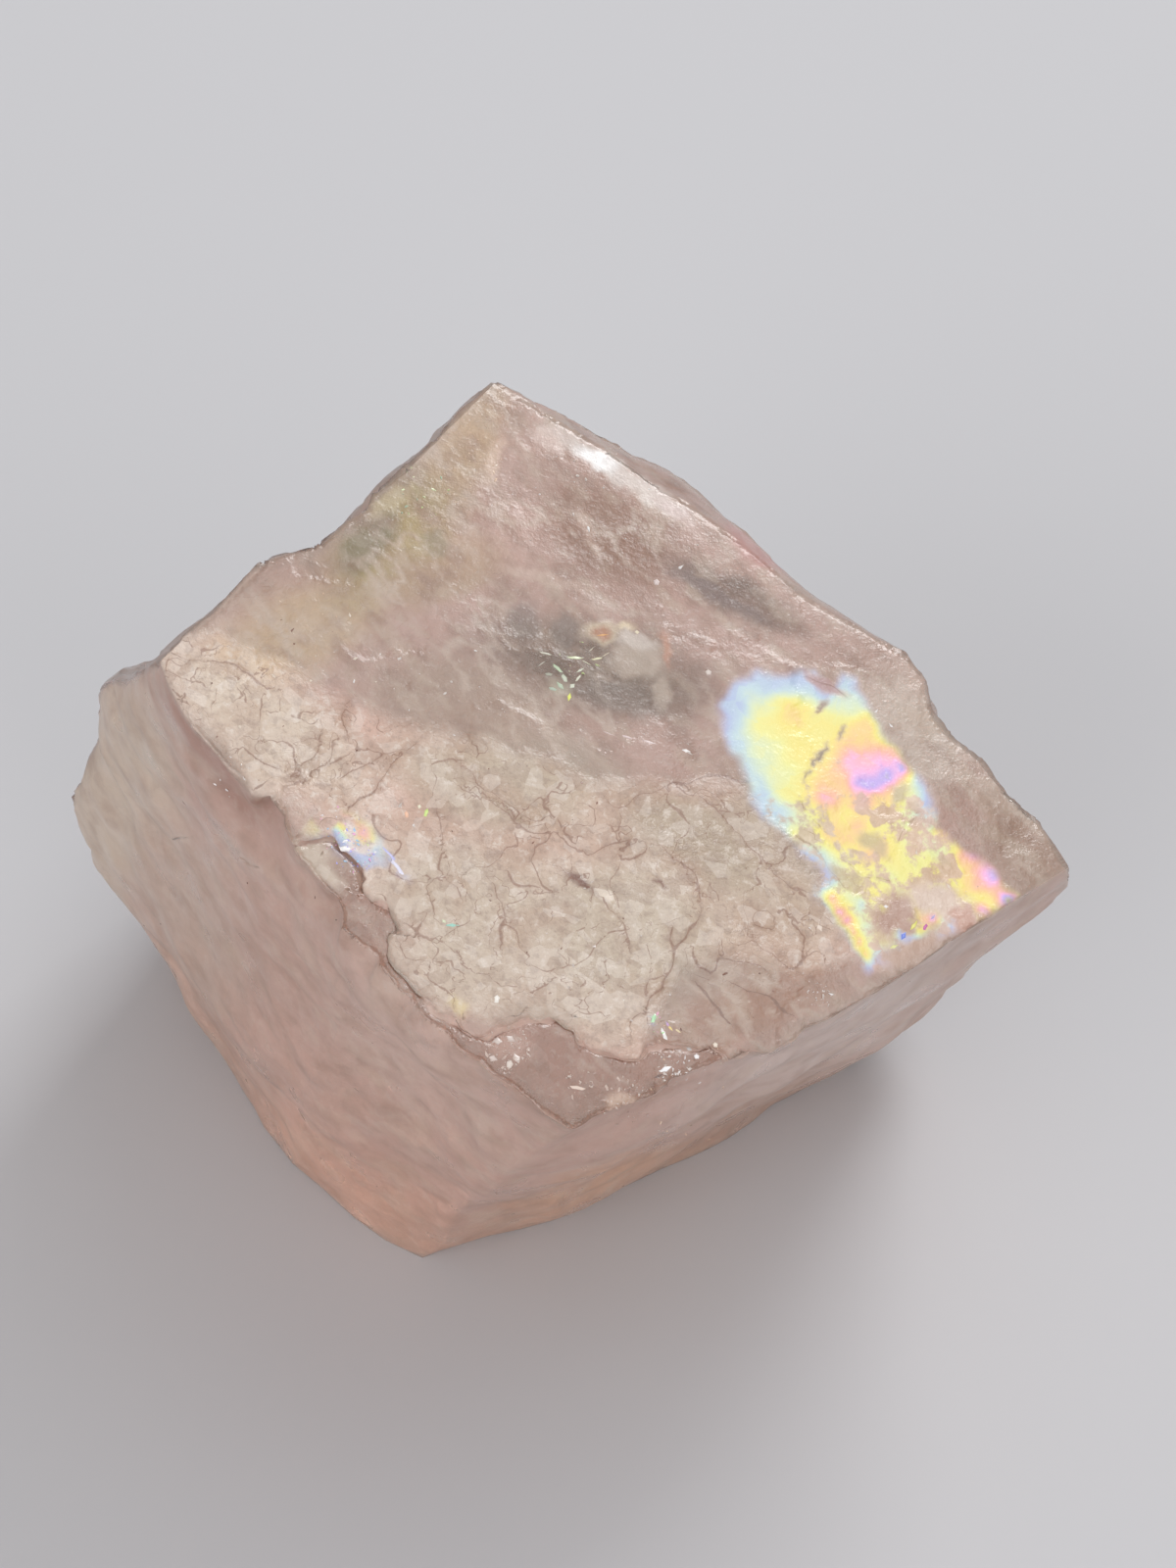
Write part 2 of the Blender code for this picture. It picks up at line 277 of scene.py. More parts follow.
MARKS = {
    # The bevel and apex-edge marks are painted highlights along the upper right edge.
    "bevel": (632, 484, 92, 11, 33, (232, 224, 218), 0.7),
    "bevel_bright_highlight": (606, 470, 24, 9, 30, (255, 253, 252), 1.0),
    "bevel_end": (684, 520, 16, 8, 30, (242, 232, 226), 0.8),
    "apex_edge_highlight": (560, 450, 22, 12, 40, (226, 206, 198), 0.6),
    "cloud_one": (555, 590, 52, 7, 12, (208, 186, 170), 0.45),
    "cloud_two": (600, 545, 30, 6, 70, (208, 182, 166), 0.4),
    "cloud_three": (690, 525, 30, 8, 40, (216, 190, 184), 0.6),
    "smoke_four": (742, 612, 52, 9, 30, (116, 96, 92), 0.7),
    "smoke_five": (700, 590, 30, 6, 20, (124, 104, 98), 0.6),
    "eye_ring": (613, 645, 21, 12, 0, (206, 188, 160), 0.9),
    "eye": (612, 646, 13, 6, 0, (174, 124, 92), 1.0),
    "eye_spot": (640, 640, 9, 7, 0, (226, 208, 176), 0.9),
    "smoke_one": (534, 636, 20, 24, 0, (112, 98, 92), 0.7),
    "smoke_two": (636, 714, 52, 17, 12, (116, 100, 90), 0.7),
    "smoke_three": (577, 645, 16, 21, 0, (118, 106, 98), 0.7),
    "pale_body": (650, 674, 33, 23, 20, (190, 174, 158), 0.8),
    "pale_leg": (676, 706, 12, 17, 10, (188, 172, 156), 0.8),
    "orange_edge": (680, 664, 5, 18, -8, (200, 136, 104), 0.6),
    "lilac_light": (650, 655, 22, 8, 15, (210, 198, 188), 0.8),
    "window_glint_two": (572, 702, 12, 7, 40, (188, 186, 162), 0.5),
    "olive_gap_one": (366, 556, 22, 15, -30, (126, 116, 84), 0.8),
    "olive_gap_two": (444, 556, 16, 14, 10, (142, 130, 104), 0.7),
    "olive_light": (398, 512, 26, 10, -35, (206, 190, 150), 0.5),
    "apex_grain": (505, 470, 8, 24, 20, (222, 196, 176), 0.6),
    "edge_red": (770, 560, 40, 14, 40, (190, 136, 130), 0.8),
    "flake_white": (364, 862, 26, 14, 30, (238, 230, 228), 0.7),
    "outer_flake": (322, 884, 44, 17, 42, (206, 190, 172), 0.9),
    "pit": (593, 902, 21, 6, 35, (118, 84, 72), 1.0),
    "pit_light": (618, 916, 10, 5, 35, (236, 220, 200), 0.9),
    "pit_small": (673, 901, 8, 3, 35, (126, 90, 78), 0.9),
    "sparkle_ground": (518, 1072, 26, 20, 20, (202, 166, 152), 0.45),
    "pale_patch": (634, 1128, 18, 8, 8, (214, 186, 166), 0.8),
    "white_streak": (672, 1119, 19, 5, -26, (236, 222, 216), 0.8),
    "rim_yellow": (466, 1027, 16, 9, 30, (224, 204, 150), 0.6),
    "scratch_one": (834, 776, 24, 4, -58, (128, 112, 104), 0.9),
    "scratch_two": (837, 723, 13, 4, -52, (150, 126, 116), 0.9),
    "scratch_three": (858, 749, 10, 3, -68, (140, 122, 110), 0.8),
    "scratch_four": (842, 700, 26, 7, 28, (176, 140, 138), 0.9),
    "bare_patch_one": (916, 938, 24, 34, 20, (176, 142, 126), 1.0),
    "bare_patch_two": (958, 922, 34, 20, 15, (214, 192, 176), 1.0),
    "bare_patch_three": (930, 968, 40, 20, -28, (188, 160, 144), 1.0),
    "bare_patch_four": (984, 936, 16, 16, 0, (196, 156, 140), 1.0),
    "bare_patch_five": (916, 808, 9, 12, 30, (190, 176, 140), 0.9),
    "bare_patch_six": (893, 862, 22, 7, 40, (186, 168, 126), 0.8),
    "bare_patch_seven": (862, 895, 22, 9, 35, (190, 172, 130), 0.8),
}

# Cracks that are seen in the photograph, from one end to the other.
CRACKS = (
    ((172, 667), (195, 674), (225, 676), (245, 684), (260, 695), (279, 703)),
    ((325, 751), (321, 774), (298, 793)),
    ((289, 755), (302, 766), (300, 782), (294, 793)),
    ((248, 766), (268, 778), (283, 787)),
    ((289, 808), (310, 795), (329, 782), (348, 776)),
    ((352, 747), (348, 732), (356, 717)),
    ((357, 828), (363, 818), (386, 805), (398, 785), (409, 774), (424, 761)),
    ((348, 793), (371, 782), (390, 770), (409, 766)),
    ((457, 774), (478, 789), (486, 801), (501, 808), (520, 820), (528, 831), (551, 837), (562, 835)),
    ((474, 805), (493, 812), (512, 824), (524, 839), (539, 850), (555, 852), (566, 850), (577, 862),
     (593, 870), (602, 878), (616, 868), (630, 863), (648, 857), (665, 861), (679, 868), (697, 882),
     (707, 892), (709, 903), (714, 914), (714, 931), (709, 945), (700, 956), (690, 970), (686, 987),
     (676, 1008), (662, 1022), (655, 1036), (644, 1047)),
    ((621, 819), (627, 826), (641, 819), (658, 810), (676, 807), (693, 800), (711, 796), (742, 794),
     (770, 798)),
    ((693, 808), (711, 814), (728, 826), (746, 843), (763, 864), (784, 886), (802, 903), (823, 910)),
    ((581, 857), (567, 836), (552, 822)),
    ((635, 875), (642, 863), (658, 859), (662, 868), (648, 878), (637, 878)),
    ((447, 831), (451, 854), (447, 885), (453, 896), (467, 908), (470, 919)),
    ((505, 908), (512, 931), (514, 946), (512, 965)),
    ((613, 921), (627, 935), (634, 949), (644, 970)),
    ((516, 893), (528, 904), (547, 908)),
    ((405, 958), (424, 954), (428, 946)),
    ((436, 908), (440, 931)),
    ((767, 942), (770, 931), (784, 929), (793, 938), (790, 949), (777, 950), (769, 944)),
    ((763, 956), (777, 970), (791, 980), (806, 991), (816, 977), (820, 956), (809, 942)),
    ((707, 973), (714, 987), (725, 994), (732, 984), (732, 977), (753, 978), (774, 985), (781, 991)),
    ((711, 1005), (725, 1022), (735, 1033), (742, 1047)),
    ((749, 1005), (770, 1015), (788, 1022), (802, 1036)),
    ((690, 970), (683, 959), (685, 949)),
    ((665, 1001), (679, 994)),
    ((777, 801), (806, 808), (820, 822), (827, 836), (841, 850)),
    ((851, 875), (869, 882), (886, 896), (905, 900)),
    ((806, 850), (827, 864), (841, 882), (860, 905)),
    ((900, 882), (914, 864), (918, 850), (930, 836)),
    ((820, 690), (845, 700), (862, 712)),
)
# How far off the edges of unbroken plates count as, in millimetres.
UNBROKEN = 0.5
PLATE_WIDTH = 1.7
PLATE_SEED = 41.0
FINE_PLATE_WIDTH = 0.75
FINE_PLATE_SEED = 51.0
# Plates are bent by waves of a share of their width, and far-off places of a noise give each its height.
PLATE_BEND_WIDTH = 0.5
PLATE_BEND = 0.2
SCATTER = 7.31
# How much thinner than traced cracks the others are, and how far cracks open.
BROAD_THINNER = 2.0
FINE_THINNER = 3.2
LEAST_OPENING = 0.45
MORE_OPENING = 1.1
FAR_OFF = 9.0

# The ledge, where a sheet of the cleavage has broken away.
LEDGE = (
    (338, 869), (371, 909), (380, 930), (397, 935), (403, 977), (426, 1006), (451, 1027), (485, 1036),
    (506, 1035), (538, 1026), (563, 1029), (577, 1035), (591, 1051), (606, 1060), (634, 1070), (652, 1072),
)
# The outline of the finely cracked skin that is left on the cleavage.
SKIN_OUTLINE = (
    (150, 662), (186, 724), (220, 754), (270, 798), (289, 821), *LEDGE, (670, 1020), (690, 985), (740, 975),
    (800, 985), (870, 980), (850, 930), (800, 860), (750, 800), (690, 800), (620, 800), (540, 780),
    (430, 745), (320, 700), (230, 650),
)
SKIN_RIM = 14.0
# The floor that the lost sheet left.  Its step is a tenth as high here as in the solid, as in the photograph.
SHEET_OUTLINE = (
    (276, 818), (310, 836), *LEDGE, (691, 1065), (741, 1072), (780, 1060), (740, 1110), (560, 1210),
    (520, 1190), (270, 880),
)
SHEET_DEPTH = 0.45 * MM
SHEET_LIFT = 0.90
SHEET_LIFT_FADE = 3.0 * MM
SHEET_RIM = 14.0
LEDGE_REACH = 34.0
LEDGE_DEPTH = 4.0 * SHEET_DEPTH
LEDGE_WANDER = 0.36 * MM

# The outline of the large rainbow, whose film reflection is painted as colour, and the thickness of its film
# at places: (column, row, spread, thickness).
RAINBOW_OUTLINE = (
    (730, 720), (742, 695), (770, 682), (800, 686), (832, 680), (846, 700), (858, 684), (876, 690),
    (884, 712), (906, 750), (926, 778), (950, 802), (958, 842), (988, 866), (1014, 884), (1040, 916),
    (1010, 934), (960, 962), (915, 988), (884, 996), (868, 972), (850, 940), (826, 918), (834, 892),
    (796, 856), (768, 830), (756, 790), (738, 762),
)
RAINBOW_RIM = 3.0
RAINBOW_FADE = 11.0
RAINBOW_RISE = 44.0
INNER_FILM = 0.38
FILM_WAVE = 0.04
BROKEN_FILM_WAVE = 0.10
FLAKE_FILM = 0.14
# Small places whose broken flakes glitter in the same painted film reflection colours: (column, row, half
# width, half height, turn).
GLITTER = (
    (358, 862, 50, 26, 42), (672, 1046, 12, 14, 10), (932, 950, 30, 13, -32), (404, 884, 20, 6, 50),
)
# Parts of the rainbow's low half that are not torn, given in the same way.
UNTORN = ((864, 946, 44, 11, 57), (1008, 898, 38, 20, 48), (872, 846, 34, 16, 40))
FILM_PEAKS = (
    (750, 715, 22, 0.09), (784, 700, 22, 0.12), (815, 690, 20, 0.11), (752, 768, 20, 0.14),
    (768, 800, 18, 0.17), (782, 768, 18, 0.27), (806, 730, 19, 0.48), (816, 765, 17, 0.42),
    (802, 792, 14, 0.33), (842, 748, 14, 0.38), (862, 698, 14, 0.11), (868, 716, 14, 0.21),
    (880, 738, 14, 0.42), (885, 786, 34, 0.64), (870, 776, 16, 0.67), (898, 778, 20, 0.67),
    (920, 784, 10, 0.76), (878, 801, 11, 0.78), (890, 799, 11, 0.78), (902, 795, 11, 0.77),
    (880, 818, 11, 0.65), (878, 750, 14, 0.50), (898, 826, 12, 0.42), (842, 814, 15, 0.62),
    (826, 800, 8, 0.42), (790, 834, 14, 0.16), (815, 852, 14, 0.28), (850, 850, 16, 0.44),
    (878, 848, 16, 0.53), (890, 870, 12, 0.48), (925, 815, 12, 0.30), (935, 850, 12, 0.31),
    (962, 850, 16, 0.53), (990, 872, 19, 0.66), (1010, 894, 22, 0.77), (1028, 918, 12, 0.86),
    (1004, 930, 12, 0.68), (828, 905, 10, 0.12), (848, 918, 9, 0.50), (856, 930, 9, 0.58),
    (863, 941, 9, 0.61), (870, 952, 9, 0.61), (877, 963, 9, 0.57), (884, 974, 8, 0.50), (877, 926, 7, 0.20),
    (889, 948, 7, 0.24), (322, 846, 12, 0.30), (340, 828, 14, 0.66), (354, 840, 14, 0.68),
    (368, 851, 13, 0.66), (386, 868, 10, 0.14), (366, 882, 14, 0.05), (392, 888, 12, 0.07),
    (668, 1040, 9, 0.26), (679, 1054, 9, 0.66), (926, 955, 12, 0.05), (938, 944, 10, 0.40),
    (950, 940, 9, 0.72),
)

# ---- how the surface varies --------------------------------------------------------------------------------
# Each noise: the width of its waves in millimetres, its seed and its octaves.

NOISES = {
    "bend": (1.7, 11.0, 3),
    "slight_bend": (0.55, 14.0, 2),
    "ragged_bend": (0.3, 17.0, 1),
    "crack_wander": (0.6, 31.0, 2),
    "ledge": (1.0, 7.0, 3),
    "missing_cracks": (1.9, 56.0, 1),
    "crack_opening": (0.9, 57.0, 1),
    "smudge": (1.2, 21.0, 4),
    "veil": (1.0, 24.0, 5),
    "shade": (0.8, 27.0, 5),
    "wisps": (2.0, 34.0, 4),
    "wisp_zones": (2.4, 38.0, 1),
    "flakes": (0.35, 77.0, 1),
    "film": (1.0, 61.0, 1),
    "broken_film": (0.7, 62.0, 1),
    "mottle": (0.75, 71.0, 4),
    "seams": (1.0, 74.0, 4),
    "frost": (1.3, 81.0, 2),
    "fresh": (5.0, 82.0, 1),
    "swell": (1.8, 1.0, 1),
    "hollows": (1.5, 3.0, 1),
    "ridges": (2.6, 4.0, 2),
    "bumps": (0.9, 5.0, 2),
    "chips": (0.8, 6.0, 2),
}
# How far noises bend what is drawn on the faces, in pixels.
BENDS = {"bend": 13.0, "slight_bend": 4.5, "ragged_bend": 4.0, "crack_wander": 4.4}

# How steep and how deep the cleavage reaches, how far a flank's points face its way, and the depths below the
# cleavage and the rows of the photograph between which the lost sheet and the torn rainbow begin.
TOP_FACING = (0.35, 0.75)
TOP_DEPTH = (2.5 * MM, 1.2 * MM)
FLANK_FACING = (0.3, 0.7)
LOST_DEPTH = (0.2 * MM, 0.3 * MM)
LOST_ROWS = (790.0, 850.0)
TORN_ROWS = (785.0, 830.0)

# How see-through the stone is, what makes it clearer, and how much its skin and its marks cloud it.
CLEAR_BODY = 0.34
CLEARER = {"bare": 0.10, "lost_sheet": 0.16, "smoky": 0.12, "thin": 0.20, "behind": 0.36}
SKIN_CLOUDS = 0.8
MARKS_CLOUD = 0.7
# Roughness: of the frosted faces, of glossy breaks, what the skin adds, and its limits.
FROSTED = 0.38
MORE_OR_LESS_FROSTED = 0.24
GLOSSY = 0.16
MOSTLY_GLOSSY = 0.8
MATTE_SKIN = 0.15
ROUGHNESS_LIMITS = (0.08, 0.85)
# Heights and widths of the relief, in millimetres.
PLATE_RELIEF = 0.09
FINE_PLATE_RELIEF = 0.045
BACK_PLATES = 1.4
STEP_RELIEF = 0.035
STEP_WIDTH = 0.35
SWELL_RELIEF = 0.03
GROOVE_RELIEF = 0.022
GROOVE_WIDTH = 0.09
RIDGE_RELIEF = 0.10
BUMP_RELIEF = 0.05
HOLLOW_RELIEF = 0.22
LEAST_CHIP = 0.04
MORE_CHIP = 0.22


def offset_from_line(line, places, closed):
    """Distance in pixels from places to a line, and whether they are on its left side."""
    corners = np.array(line, float)
    ends = np.roll(corners, -1, axis=0) if closed else corners[1:]
    nearest = np.full(len(places), 1e9)
    left = np.zeros(len(places), bool)
    for start, end in zip(corners, ends):
        along = end - start
        offset = places - start
        share = np.clip(offset @ along / (along @ along), 0.0, 1.0)
        gap = np.hypot(*(offset - share[:, None] * along).T)
        closer = gap < nearest
        nearest[closer] = gap[closer]
        left[closer] = (along[0] * offset[:, 1] > along[1] * offset[:, 0])[closer]
    return nearest, left


def is_inside(outline, places):
    inside = np.zeros(len(places), bool)
    corners = np.array(outline, float)
    for start, end in zip(corners, np.roll(corners, -1, axis=0)):
        if start[1] == end[1]:
            continue
        spans = (start[1] > places[:, 1]) != (end[1] > places[:, 1])
        crossing = start[0] + (places[:, 1] - start[1]) * (end[0] - start[0]) / (end[1] - start[1])
        inside ^= spans & (places[:, 0] < crossing)
    return inside


def depth_inside(outline, places):
    """Distance in pixels from places to an outline, positive inside it."""
    distance, _ = offset_from_line(outline, places, closed=True)
    return np.where(is_inside(outline, places), distance, -distance)


def crack_offset(points, places):
    """Signed distance in millimetres to the nearest crack, which changes sign across the crack."""
    bent = places + push_in_picture("crack_wander", points)
    nearest = np.full(len(points), 1e9)
    for line in CRACKS:
        distance, left = offset_from_line(line, bent, closed=False)
        signed = np.where(left, distance, -distance) * PIXEL / MM
        closer = np.abs(signed) < np.abs(nearest)
        nearest[closer] = signed[closer]
    return nearest


def plates(points, width, seed):
    """The irregular plates that a face breaks into: a random height from 0 to 1 for each, and the signed
    distance in millimetres to the cracks, which part only some of them."""
    push = [waves(points, width * PLATE_BEND_WIDTH, seed + axis, 2) for axis in range(3)]
    bent = points + np.stack(push, axis=-1) * width * PLATE_BEND * MM
    heights = []
    offsets = []
    for place in (bent / (width * MM)).tolist():
        distances, centres = noise.voronoi(place)
        shares = [0.5 + 0.5 * noise.noise(centre * SCATTER) for centre in centres[:2]]
        gap = (distances[1] - distances[0]) * width / 2.0
        if (shares[0] > 0.5) == (shares[1] > 0.5):
            gap += UNBROKEN
        heights.append(shares[0])
        offsets.append(gap if shares[0] > 0.5 else -gap)
    return np.array(heights), np.array(offsets)


def zone_share(zone, places, core, reach):
    """How much of a zone's colour each place takes, from 0 outside it to its strength in the middle."""
    column, row, half_width, half_height, turn, _, strength = zone
    angle = math.radians(turn)
    across = places - np.array([column, row])
    along = across[:, 0] * math.cos(angle) + across[:, 1] * math.sin(angle)
    beside = across[:, 1] * math.cos(angle) - across[:, 0] * math.sin(angle)
    spread = np.hypot(along / half_width, beside / half_height)
    return strength * (1.0 - smooth_step(core, reach, spread))


def blend(colours, colour, share):
    colours += share[:, None] * (np.asarray(colour) - colours)


def paint(colours, zones, places, face_share):
    for zone in zones.values():
        blend(colours, linear(*zone[5]), zone_share(zone, places, ZONE_CORE, ZONE_REACH) * face_share)


def film_thickness(places, points):
    """Thickness of the rainbow's film, as a place in FILM_REFLECTION_COLOURS, from its rim to its peaks."""
    inside = depth_inside(RAINBOW_OUTLINE, places)
    thickness = INNER_FILM * smooth_step(-RAINBOW_RIM, RAINBOW_RISE, inside)
    for column, row, spread, peak in FILM_PEAKS:
        gap = np.hypot(places[:, 0] - column, places[:, 1] - row)
        share = np.exp(-((gap / spread) ** 2))
        thickness += share * (peak - thickness)
    broken = smooth_step(*LOST_ROWS, places[:, 1])
    uneven = FILM_WAVE * vary("film", points) + BROKEN_FILM_WAVE * broken * vary("broken_film", points)
    return thickness + uneven


def store(mesh, name, values):
    """Keeps a number or a colour for each point of a mesh, for its material to read."""
    if values.ndim == 1:
        mesh.attributes.new(name, "FLOAT", "POINT").data.foreach_set("value", values.astype(np.float32))
        return
    rgba = np.ones((len(values), 4), np.float32)
    rgba[:, :3] = values
    mesh.attributes.new(name, "FLOAT_COLOR", "POINT").data.foreach_set("color", rgba.ravel())


def thickness_below(mesh, points, normals):
    """How much stone lies under each point, straight below its surface."""
    mesh.calc_loop_triangles()
    triangles = [tuple(triangle.vertices) for triangle in mesh.loop_triangles]
    tree = BVHTree.FromPolygons([Vector(point) for point in points], triangles)
    found = []
    for point, normal in zip(points, normals):
        inward = Vector(-normal)
        distance = tree.ray_cast(Vector(point) + inward * 0.02 * MM, inward)[3]
        found.append(distance if distance is not None else 0.0)
    return np.array(found)


def rim_distance(points, on_rim):
    """How far each point is from the nearest sharp edge."""
    rim = points[on_rim]
    tree = KDTree(len(rim))
    for index, place in enumerate(rim.tolist()):
        tree.insert(place, index)
    tree.balance()
    return np.array([tree.find(place)[2] for place in points.tolist()])


class Faces:
    """The points of the fine surface: their places, and how far each belongs to each face, from 0 to 1."""

    def __init__(self, mesh):
        self.points = read(mesh, "co")
        self.normals = read(mesh, "normal")
        self.depth = cleavage_depth(self.points)
        self.places = seen_at(self.points)
        facing = self.normals @ np.array(CLEAVAGE_NORMAL)
        self.on_top = smooth_step(*TOP_FACING, facing) * smooth_step(*TOP_DEPTH, self.depth)
        off_top = 1.0 - self.on_top
        self.on_left = smooth_step(*FLANK_FACING, self.normals @ np.array(LEFT_FLANK_NORMAL)) * off_top
        self.on_right = smooth_step(*FLANK_FACING, self.normals @ np.array(RIGHT_FLANK_NORMAL)) * off_top
        self.behind = np.clip(1.0 - self.on_top - self.on_left - self.on_right, 0.0, 1.0)
        self.bent = self.places + push_in_picture("bend", self.points)
        self.slightly_bent = self.places + push_in_picture("slight_bend", self.points)
        self.ragged = self.slightly_bent + push_in_picture("ragged_bend", self.points)

    def by_face(self, on_top, elsewhere):
        return np.where(self.on_top > 0.5, on_top, elsewhere)


def read(mesh, name):
    values = np.empty(len(mesh.vertices) * 3)
    mesh.vertices.foreach_get(name, values)
    return values.reshape(-1, 3)


def vary(name, points, offset=0.0):
    """One of the noises, from about -1 to 1, at each point."""
    width, seed, octaves = NOISES[name]
    return waves(points, width, seed + offset, octaves)


def push_in_picture(name, points):
    """A push in pixels that bends what is drawn on the faces."""
    return BENDS[name] * np.stack([vary(name, points, axis) for axis in range(2)], axis=-1)


def lift_ledge(faces):
    """Lifts the floor of the lost sheet, and less and less of what lies below it, and makes the ledge ragged.
    Gives the share of the sheet's floor and of the ledge at each point."""
    inside = depth_inside(SHEET_OUTLINE, faces.places)
    floor_share = smooth_step(-SHEET_RIM, 0.0, inside)
    under = np.clip((faces.depth - SHEET_DEPTH) / SHEET_LIFT_FADE, 0.0, 1.0)
    lift = floor_share * SHEET_LIFT * np.clip(faces.depth, 0.0, SHEET_DEPTH) * (1.0 - under)
    faces.points += lift[:, None] * np.array(CLEAVAGE_NORMAL)
    ledge_share = np.exp(-((inside / LEDGE_REACH) ** 2))
    ledge_share *= smooth_step(LEDGE_DEPTH, SHEET_DEPTH, faces.depth)
    level = faces.points + faces.depth[:, None] * np.array(CLEAVAGE_NORMAL)
    for offset, direction in ((0.0, ALONG_CLEAVAGE), (2.0, DOWN_CLEAVAGE)):
        push = ledge_share * vary("ledge", level, offset) * LEDGE_WANDER
        faces.points += push[:, None] * np.array(direction)
    return floor_share, ledge_share


def broken_sheet(faces):
    """Where the sheet of the cleavage is lost, and where its cracked skin is left, from 0 to 1."""
    low_rows = smooth_step(*LOST_ROWS, faces.places[:, 1])
    lost_sheet = faces.on_top * smooth_step(*LOST_DEPTH, faces.depth) * low_rows
    skin = smooth_step(-SKIN_RIM, SKIN_RIM, depth_inside(SKIN_OUTLINE, faces.bent))
    return lost_sheet, skin * faces.on_top * (1.0 - lost_sheet)


def all_cracks(faces, skin, traced, broad, fine):
    """The signed offset to the nearest of the traced, the broad and the fine cracks, in line widths."""
    missing = UNBROKEN * smooth_step(0.0, 0.12, vary("missing_cracks", faces.points))
    crack = traced.copy()
    for other in (BROAD_THINNER * broad, FINE_THINNER * fine + np.sign(fine) * missing):
        faded = other + np.sign(other) * (1.0 - np.clip(skin * 1.6, 0.0, 1.0)) * UNBROKEN
        closer = np.abs(faded) < np.abs(crack)
        crack[closer] = faded[closer]
    opening = LEAST_OPENING + MORE_OPENING * smooth_step(-0.35, 0.45, vary("crack_opening", faces.points))
    return crack / opening + np.sign(crack) * FAR_OFF * smooth_step(0.7, 0.4, faces.on_top)


def zone_colours(faces, lost_sheet):
    """Colours of the faces and their zones, with a paler back that is partly painted light and a painted glow
    towards the foot.
    """
    colours = np.tile(PINK, (len(faces.points), 1))
    blend(colours, BACK_COLOUR_WITH_PAINTED_LIGHT, faces.behind)
    paint(colours, CLEAVAGE_ZONES, faces.bent, faces.on_top)
    blend(colours, BAND_COLOUR, lost_sheet)
    paint(colours, LEFT_ZONES, faces.bent, faces.on_left)
    paint(colours, RIGHT_ZONES, faces.bent, faces.on_right)
    # A painted warm glow towards the foot.
    blend(colours, FOOT_GLOW_COLOUR, FOOT_GLOW_SHARE * smooth_step(*FOOT_GLOW, faces.points[:, 2]))
    return colours


def add_tones(colours, faces, skin, lost_sheet, thin, worn_and_glowing_edges, traced):
    """Lays smaller tones over the zones: a painted glow in thin places, edges paler from wear and a painted
    glow, a painted glow behind the rim, smudges, streaked veils and pale wisps.
    """
    bare = 1.0 - skin
    # Painted glow where the stone is thin.
    blend(colours, THIN_GLOW_COLOUR, THIN_GLOW_SHARE * thin * bare)
    streaked = [faces.points @ ACROSS_STREAKS, faces.points @ ALONG_STREAKS, faces.points[:, 2]]
    streaked = np.stack(streaked, axis=-1)
    rooms = {"smudge": 1.0, "veil": bare * (1.0 - lost_sheet), "shade": bare}
    for name, (tone, levels, shares) in TONES.items():
        amount = smooth_step(*levels, vary(name, faces.points if name == "smudge" else streaked))
        blend(colours, tone, amount * rooms[name] * faces.by_face(*shares))
    # Edges paler from wear and a painted glow, then a painted glow on the back near the cleavage's rim.
    blend(colours, WEAR_AND_GLOW_COLOUR, WEAR_AND_GLOW_SHARE * worn_and_glowing_edges)
    blend(colours, WEAR_AND_GLOW_COLOUR, RIM_GLOW_SHARE * faces.behind * smooth_step(RIM_GLOW, 0.0, faces.depth))
    beside_crack = np.exp(-np.abs(traced) / CRACK_STAIN) * faces.on_top
    blend(colours, TONES["smudge"][0], CRACK_STAIN_SHARE * beside_crack)
    wisps = 1.0 - smooth_step(*WISP_LEVELS, np.abs(vary("wisps", streaked)))
    wisps *= smooth_step(-0.2, 0.3, vary("wisp_zones", faces.points))
    on_bare, on_sheet, on_flank, on_back = WISP_SHARES
    on_cleavage = on_bare * bare * faces.on_top * (1.0 - lost_sheet) + on_sheet * lost_sheet
    elsewhere = on_flank + (on_back - on_flank) * faces.behind
    blend(colours, WISP_COLOUR, wisps * faces.by_face(on_cleavage, elsewhere))


def glitter_share(faces, fine_heights):
    """Where small broken flakes glitter."""
    flakes = smooth_step(0.40, 0.56, fine_heights + 0.35 * vary("flakes", faces.points))
    glitter = np.zeros(len(faces.points))
    for place in GLITTER:
        share = zone_share((*place, None, 1.0), faces.slightly_bent, 0.3, 1.2) * flakes * faces.on_top
        glitter = np.maximum(glitter, share)
    return glitter


def torn_rainbow(faces):
    """How torn the rainbow is: it is whole below 0 and gone above."""
    low_part = smooth_step(*TORN_ROWS, faces.places[:, 1])
    seams = 0.10 - np.abs(vary("seams", faces.points)) - 0.5 * (1.0 - low_part)
    torn = np.maximum(vary("mottle", faces.points) - 0.95 + 0.70 * low_part, seams)
    for place in UNTORN:
        torn -= zone_share((*place, None, 1.0), faces.slightly_bent, 0.5, 1.2)
    return torn


def add_marks(colours, faces):
    """Paints the marks, and gives the share of them at each point."""
    marked = np.zeros(len(faces.points))
    for zone in MARKS.values():
        share = zone_share(zone, faces.ragged, 0.55, 1.3) * faces.on_top
        blend(colours, linear(*zone[5]), share)
        marked = np.maximum(marked, share)
    return marked


